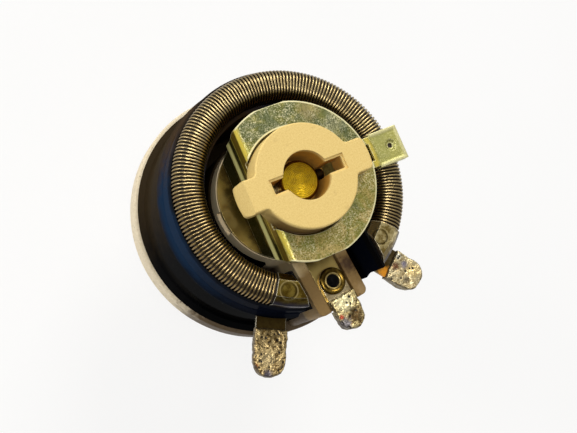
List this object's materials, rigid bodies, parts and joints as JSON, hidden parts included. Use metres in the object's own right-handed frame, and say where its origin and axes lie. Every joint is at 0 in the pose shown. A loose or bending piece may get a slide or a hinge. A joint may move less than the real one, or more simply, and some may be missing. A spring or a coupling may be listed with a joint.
{
  "type": "wire-wound rheostat",
  "caption": "Panel-mounted rotary wire-wound rheostat: an enamelled ring winding on a ceramic base, swept by a brush arm on a ceramic hub and shaft, with three solder lugs.",
  "frame": {"origin": "centre of the ceramic face that lies against the panel, on the shaft's axis", "axes": "+Z along the shaft, away from the panel and towards the hub and winding; -Y towards the middle solder lug; +X to the right seen from the winding side with that lug at the bottom"},
  "size_m": [0.0396, 0.0429, 0.0527],
  "materials": {
    "base_ceramic": "unglazed steatite, satin",
    "core_ceramic": "unglazed, darkened by firing",
    "hub_ceramic": "unglazed, warm cream",
    "vitreous_enamel": "glossy dark blue-black enamel",
    "resistance_wire": "bare oxidised resistance alloy wire",
    "end_strip": "tarnished tinned strip",
    "middle_lug": "tinned strip",
    "collector_metal": "aged brass strip",
    "eyelet_brass": "dark aged brass",
    "solder": "lumpy solder with flux pits",
    "bushing_brass": "machined brass",
    "washer_steel": "plain plated steel",
    "shaft_brass": "machined brass",
    "clip_steel": "blued spring steel",
    "pin_steel": "plain steel",
    "plate_zinc": "yellow chromated zinc plating",
    "brush_graphite": "copper-graphite, matt"
  },
  "bodies": {
    "stator": {"base": "base_ceramic", "core": "core_ceramic", "winding": "resistance_wire", "enamel": "vitreous_enamel", "left_terminal": "end_strip", "right_terminal": "end_strip", "centre_terminal": "middle_lug", "left_solder": "solder", "right_solder": "solder", "centre_solder": "solder", "collector_ring": "collector_metal", "eyelet": "eyelet_brass", "bushing": "bushing_brass", "bushing_washer": "washer_steel"},
    "rotor": {"shaft": "shaft_brass", "thrust_washer": "washer_steel", "retaining_ring": "clip_steel", "hub_washer": "washer_steel", "hub": "hub_ceramic", "cross_pin": "pin_steel", "contact_plate": "plate_zinc", "contact_brush": "brush_graphite"}
  },
  "joints": [
    {"name": "shaft_turn", "type": "hinge", "parent": "stator", "child": "rotor", "pos_m": [0, 0, 0], "axis": [0, 0, 1], "range_deg": [-51.5, 242]}
  ]
}
